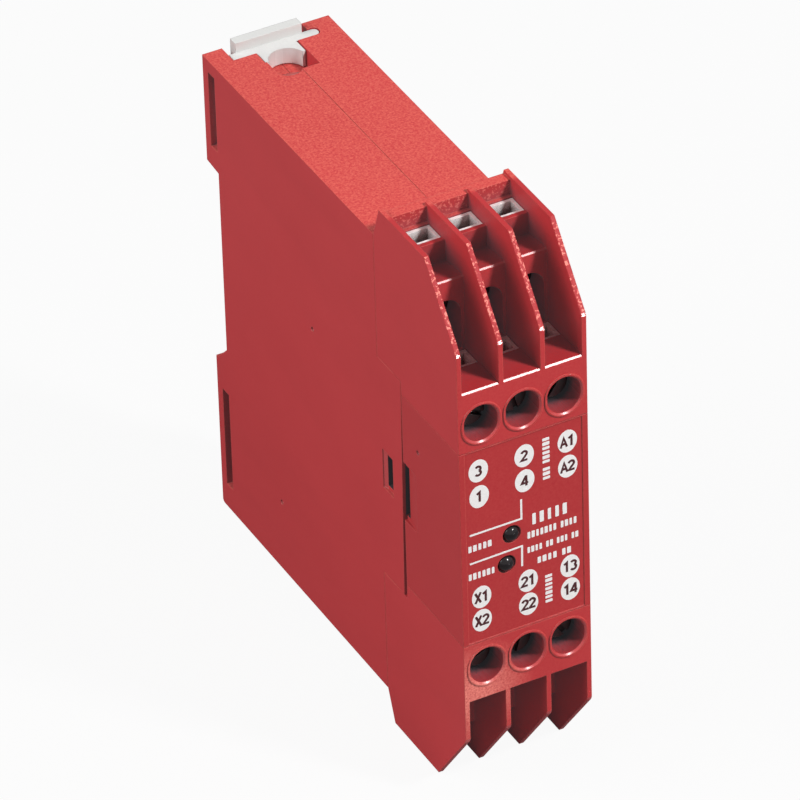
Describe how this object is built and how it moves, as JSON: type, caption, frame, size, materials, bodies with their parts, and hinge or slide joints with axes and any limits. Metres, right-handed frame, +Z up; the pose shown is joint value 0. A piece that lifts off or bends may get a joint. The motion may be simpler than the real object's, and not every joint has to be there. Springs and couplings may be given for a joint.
{
  "type": "safety relay",
  "caption": "Slim red rail-mounted safety relay with stepped rows of screw terminals above and below a marked front plate, status lights and a sliding rail foot.",
  "frame": {"origin": "middle of the rail seat: mid width, on the front face of the mounted rail, level with the rail's middle", "axes": "+X to the right as seen from the front, +Y towards the back, away from the front plate, +Z up"},
  "size_m": [0.0226, 0.0847, 0.099],
  "materials": {
    "housing": "satin moulded red with a fine grain",
    "label_plate": "smooth red with plain white print",
    "foot": "light grey, satin",
    "spring_steel": "drawn wire",
    "plated_contact": "bright tin plating",
    "zinc_screw": "black zinc plated",
    "circuit_board": "green solder mask",
    "header": "black moulding",
    "led": "clear dark lens, unlit",
    "relay_case": "sealed case",
    "capacitor_sleeve": "shrink sleeve",
    "ferrite": "lacquered winding and core"
  },
  "bodies": {
    "body": {"filter_choke": "ferrite", "first_relay": "relay_case", "foot_spring": "spring_steel", "front_cover": "label_plate", "indicator_board": "circuit_board", "indicator_header": "header", "left_rear_housing": "housing", "lower_front_contact_1": "plated_contact", "lower_front_contact_2": "plated_contact", "lower_front_contact_3": "plated_contact", "lower_rear_contact_1": "plated_contact", "lower_rear_contact_2": "plated_contact", "lower_rear_contact_3": "plated_contact", "lower_terminal_block": "housing", "main_board": "circuit_board", "main_board_header": "header", "monitor_relay": "relay_case", "output_led": "led", "power_led": "led", "right_rear_housing": "housing", "second_relay": "relay_case", "supply_board": "circuit_board", "supply_board_header": "header", "supply_capacitor": "capacitor_sleeve", "terminal_board": "circuit_board", "upper_front_contact_1": "plated_contact", "upper_front_contact_2": "plated_contact", "upper_front_contact_3": "plated_contact", "upper_rear_contact_1": "plated_contact", "upper_rear_contact_2": "plated_contact", "upper_rear_contact_3": "plated_contact", "upper_terminal_block": "housing"},
    "lower_front_clamp_plate_1": {"lower_front_clamp_plate_1": "plated_contact"},
    "lower_front_clamp_plate_2": {"lower_front_clamp_plate_2": "plated_contact"},
    "lower_front_clamp_plate_3": {"lower_front_clamp_plate_3": "plated_contact"},
    "lower_front_screw_1": {"lower_front_screw_1": "zinc_screw"},
    "lower_front_screw_2": {"lower_front_screw_2": "zinc_screw"},
    "lower_front_screw_3": {"lower_front_screw_3": "zinc_screw"},
    "lower_rear_clamp_plate_1": {"lower_rear_clamp_plate_1": "plated_contact"},
    "lower_rear_clamp_plate_2": {"lower_rear_clamp_plate_2": "plated_contact"},
    "lower_rear_clamp_plate_3": {"lower_rear_clamp_plate_3": "plated_contact"},
    "lower_rear_screw_1": {"lower_rear_screw_1": "zinc_screw"},
    "lower_rear_screw_2": {"lower_rear_screw_2": "zinc_screw"},
    "lower_rear_screw_3": {"lower_rear_screw_3": "zinc_screw"},
    "rail_foot": {"rail_foot": "foot"},
    "upper_front_clamp_plate_1": {"upper_front_clamp_plate_1": "plated_contact"},
    "upper_front_clamp_plate_2": {"upper_front_clamp_plate_2": "plated_contact"},
    "upper_front_clamp_plate_3": {"upper_front_clamp_plate_3": "plated_contact"},
    "upper_front_screw_1": {"upper_front_screw_1": "zinc_screw"},
    "upper_front_screw_2": {"upper_front_screw_2": "zinc_screw"},
    "upper_front_screw_3": {"upper_front_screw_3": "zinc_screw"},
    "upper_rear_clamp_plate_1": {"upper_rear_clamp_plate_1": "plated_contact"},
    "upper_rear_clamp_plate_2": {"upper_rear_clamp_plate_2": "plated_contact"},
    "upper_rear_clamp_plate_3": {"upper_rear_clamp_plate_3": "plated_contact"},
    "upper_rear_screw_1": {"upper_rear_screw_1": "zinc_screw"},
    "upper_rear_screw_2": {"upper_rear_screw_2": "zinc_screw"},
    "upper_rear_screw_3": {"upper_rear_screw_3": "zinc_screw"}
  },
  "joints": [
    {"name": "rail_foot_slide", "type": "slide", "parent": "body", "child": "rail_foot", "axis": [0, 0, 1], "range_m": [0, 0.0025], "stiffness_N_per_m": 2000, "springref_m": -0.002, "deforming": ["foot_spring"]},
    {"name": "upper_front_clamp_plate_1_slide", "type": "slide", "parent": "body", "child": "upper_front_clamp_plate_1", "axis": [0, 1, 0], "range_m": [-0.002, 0]},
    {"name": "upper_front_screw_1_turn", "type": "hinge", "parent": "upper_front_clamp_plate_1", "child": "upper_front_screw_1", "pos_m": [-0.00723, -0.0743, 0.0174], "axis": [0, 1, 0], "range_deg": [-1440, 0]},
    {"name": "upper_front_clamp_plate_2_slide", "type": "slide", "parent": "body", "child": "upper_front_clamp_plate_2", "axis": [0, 1, 0], "range_m": [-0.002, 0]},
    {"name": "upper_front_screw_2_turn", "type": "hinge", "parent": "upper_front_clamp_plate_2", "child": "upper_front_screw_2", "pos_m": [0, -0.0743, 0.0174], "axis": [0, 1, 0], "range_deg": [-1440, 0]},
    {"name": "upper_front_clamp_plate_3_slide", "type": "slide", "parent": "body", "child": "upper_front_clamp_plate_3", "axis": [0, 1, 0], "range_m": [-0.002, 0]},
    {"name": "upper_front_screw_3_turn", "type": "hinge", "parent": "upper_front_clamp_plate_3", "child": "upper_front_screw_3", "pos_m": [0.00723, -0.0743, 0.0174], "axis": [0, 1, 0], "range_deg": [-1440, 0]},
    {"name": "upper_rear_clamp_plate_1_slide", "type": "slide", "parent": "body", "child": "upper_rear_clamp_plate_1", "axis": [0, 1, 0], "range_m": [-0.002, 0]},
    {"name": "upper_rear_screw_1_turn", "type": "hinge", "parent": "upper_rear_clamp_plate_1", "child": "upper_rear_screw_1", "pos_m": [-0.00723, -0.0634, 0.0306], "axis": [0, 1, 0], "range_deg": [-1440, 0]},
    {"name": "upper_rear_clamp_plate_2_slide", "type": "slide", "parent": "body", "child": "upper_rear_clamp_plate_2", "axis": [0, 1, 0], "range_m": [-0.002, 0]},
    {"name": "upper_rear_screw_2_turn", "type": "hinge", "parent": "upper_rear_clamp_plate_2", "child": "upper_rear_screw_2", "pos_m": [0, -0.0634, 0.0306], "axis": [0, 1, 0], "range_deg": [-1440, 0]},
    {"name": "upper_rear_clamp_plate_3_slide", "type": "slide", "parent": "body", "child": "upper_rear_clamp_plate_3", "axis": [0, 1, 0], "range_m": [-0.002, 0]},
    {"name": "upper_rear_screw_3_turn", "type": "hinge", "parent": "upper_rear_clamp_plate_3", "child": "upper_rear_screw_3", "pos_m": [0.00723, -0.0634, 0.0306], "axis": [0, 1, 0], "range_deg": [-1440, 0]},
    {"name": "lower_front_clamp_plate_1_slide", "type": "slide", "parent": "body", "child": "lower_front_clamp_plate_1", "axis": [0, 1, 0], "range_m": [-0.002, 0]},
    {"name": "lower_front_screw_1_turn", "type": "hinge", "parent": "lower_front_clamp_plate_1", "child": "lower_front_screw_1", "pos_m": [-0.00723, -0.0743, -0.029], "axis": [0, 1, 0], "range_deg": [-1440, 0]},
    {"name": "lower_front_clamp_plate_2_slide", "type": "slide", "parent": "body", "child": "lower_front_clamp_plate_2", "axis": [0, 1, 0], "range_m": [-0.002, 0]},
    {"name": "lower_front_screw_2_turn", "type": "hinge", "parent": "lower_front_clamp_plate_2", "child": "lower_front_screw_2", "pos_m": [0, -0.0743, -0.029], "axis": [0, 1, 0], "range_deg": [-1440, 0]},
    {"name": "lower_front_clamp_plate_3_slide", "type": "slide", "parent": "body", "child": "lower_front_clamp_plate_3", "axis": [0, 1, 0], "range_m": [-0.002, 0]},
    {"name": "lower_front_screw_3_turn", "type": "hinge", "parent": "lower_front_clamp_plate_3", "child": "lower_front_screw_3", "pos_m": [0.00723, -0.0743, -0.029], "axis": [0, 1, 0], "range_deg": [-1440, 0]},
    {"name": "lower_rear_clamp_plate_1_slide", "type": "slide", "parent": "body", "child": "lower_rear_clamp_plate_1", "axis": [0, 1, 0], "range_m": [-0.002, 0]},
    {"name": "lower_rear_screw_1_turn", "type": "hinge", "parent": "lower_rear_clamp_plate_1", "child": "lower_rear_screw_1", "pos_m": [-0.00723, -0.0634, -0.0422], "axis": [0, 1, 0], "range_deg": [-1440, 0]},
    {"name": "lower_rear_clamp_plate_2_slide", "type": "slide", "parent": "body", "child": "lower_rear_clamp_plate_2", "axis": [0, 1, 0], "range_m": [-0.002, 0]},
    {"name": "lower_rear_screw_2_turn", "type": "hinge", "parent": "lower_rear_clamp_plate_2", "child": "lower_rear_screw_2", "pos_m": [0, -0.0634, -0.0422], "axis": [0, 1, 0], "range_deg": [-1440, 0]},
    {"name": "lower_rear_clamp_plate_3_slide", "type": "slide", "parent": "body", "child": "lower_rear_clamp_plate_3", "axis": [0, 1, 0], "range_m": [-0.002, 0]},
    {"name": "lower_rear_screw_3_turn", "type": "hinge", "parent": "lower_rear_clamp_plate_3", "child": "lower_rear_screw_3", "pos_m": [0.00723, -0.0634, -0.0422], "axis": [0, 1, 0], "range_deg": [-1440, 0]}
  ],
  "couplings": [
    {"joint": "upper_front_screw_1_turn", "follows": "upper_front_clamp_plate_1_slide", "rad_per_m": 12566},
    {"joint": "upper_front_screw_2_turn", "follows": "upper_front_clamp_plate_2_slide", "rad_per_m": 12566},
    {"joint": "upper_front_screw_3_turn", "follows": "upper_front_clamp_plate_3_slide", "rad_per_m": 12566},
    {"joint": "upper_rear_screw_1_turn", "follows": "upper_rear_clamp_plate_1_slide", "rad_per_m": 12566},
    {"joint": "upper_rear_screw_2_turn", "follows": "upper_rear_clamp_plate_2_slide", "rad_per_m": 12566},
    {"joint": "upper_rear_screw_3_turn", "follows": "upper_rear_clamp_plate_3_slide", "rad_per_m": 12566},
    {"joint": "lower_front_screw_1_turn", "follows": "lower_front_clamp_plate_1_slide", "rad_per_m": 12566},
    {"joint": "lower_front_screw_2_turn", "follows": "lower_front_clamp_plate_2_slide", "rad_per_m": 12566},
    {"joint": "lower_front_screw_3_turn", "follows": "lower_front_clamp_plate_3_slide", "rad_per_m": 12566},
    {"joint": "lower_rear_screw_1_turn", "follows": "lower_rear_clamp_plate_1_slide", "rad_per_m": 12566},
    {"joint": "lower_rear_screw_2_turn", "follows": "lower_rear_clamp_plate_2_slide", "rad_per_m": 12566},
    {"joint": "lower_rear_screw_3_turn", "follows": "lower_rear_clamp_plate_3_slide", "rad_per_m": 12566}
  ]
}
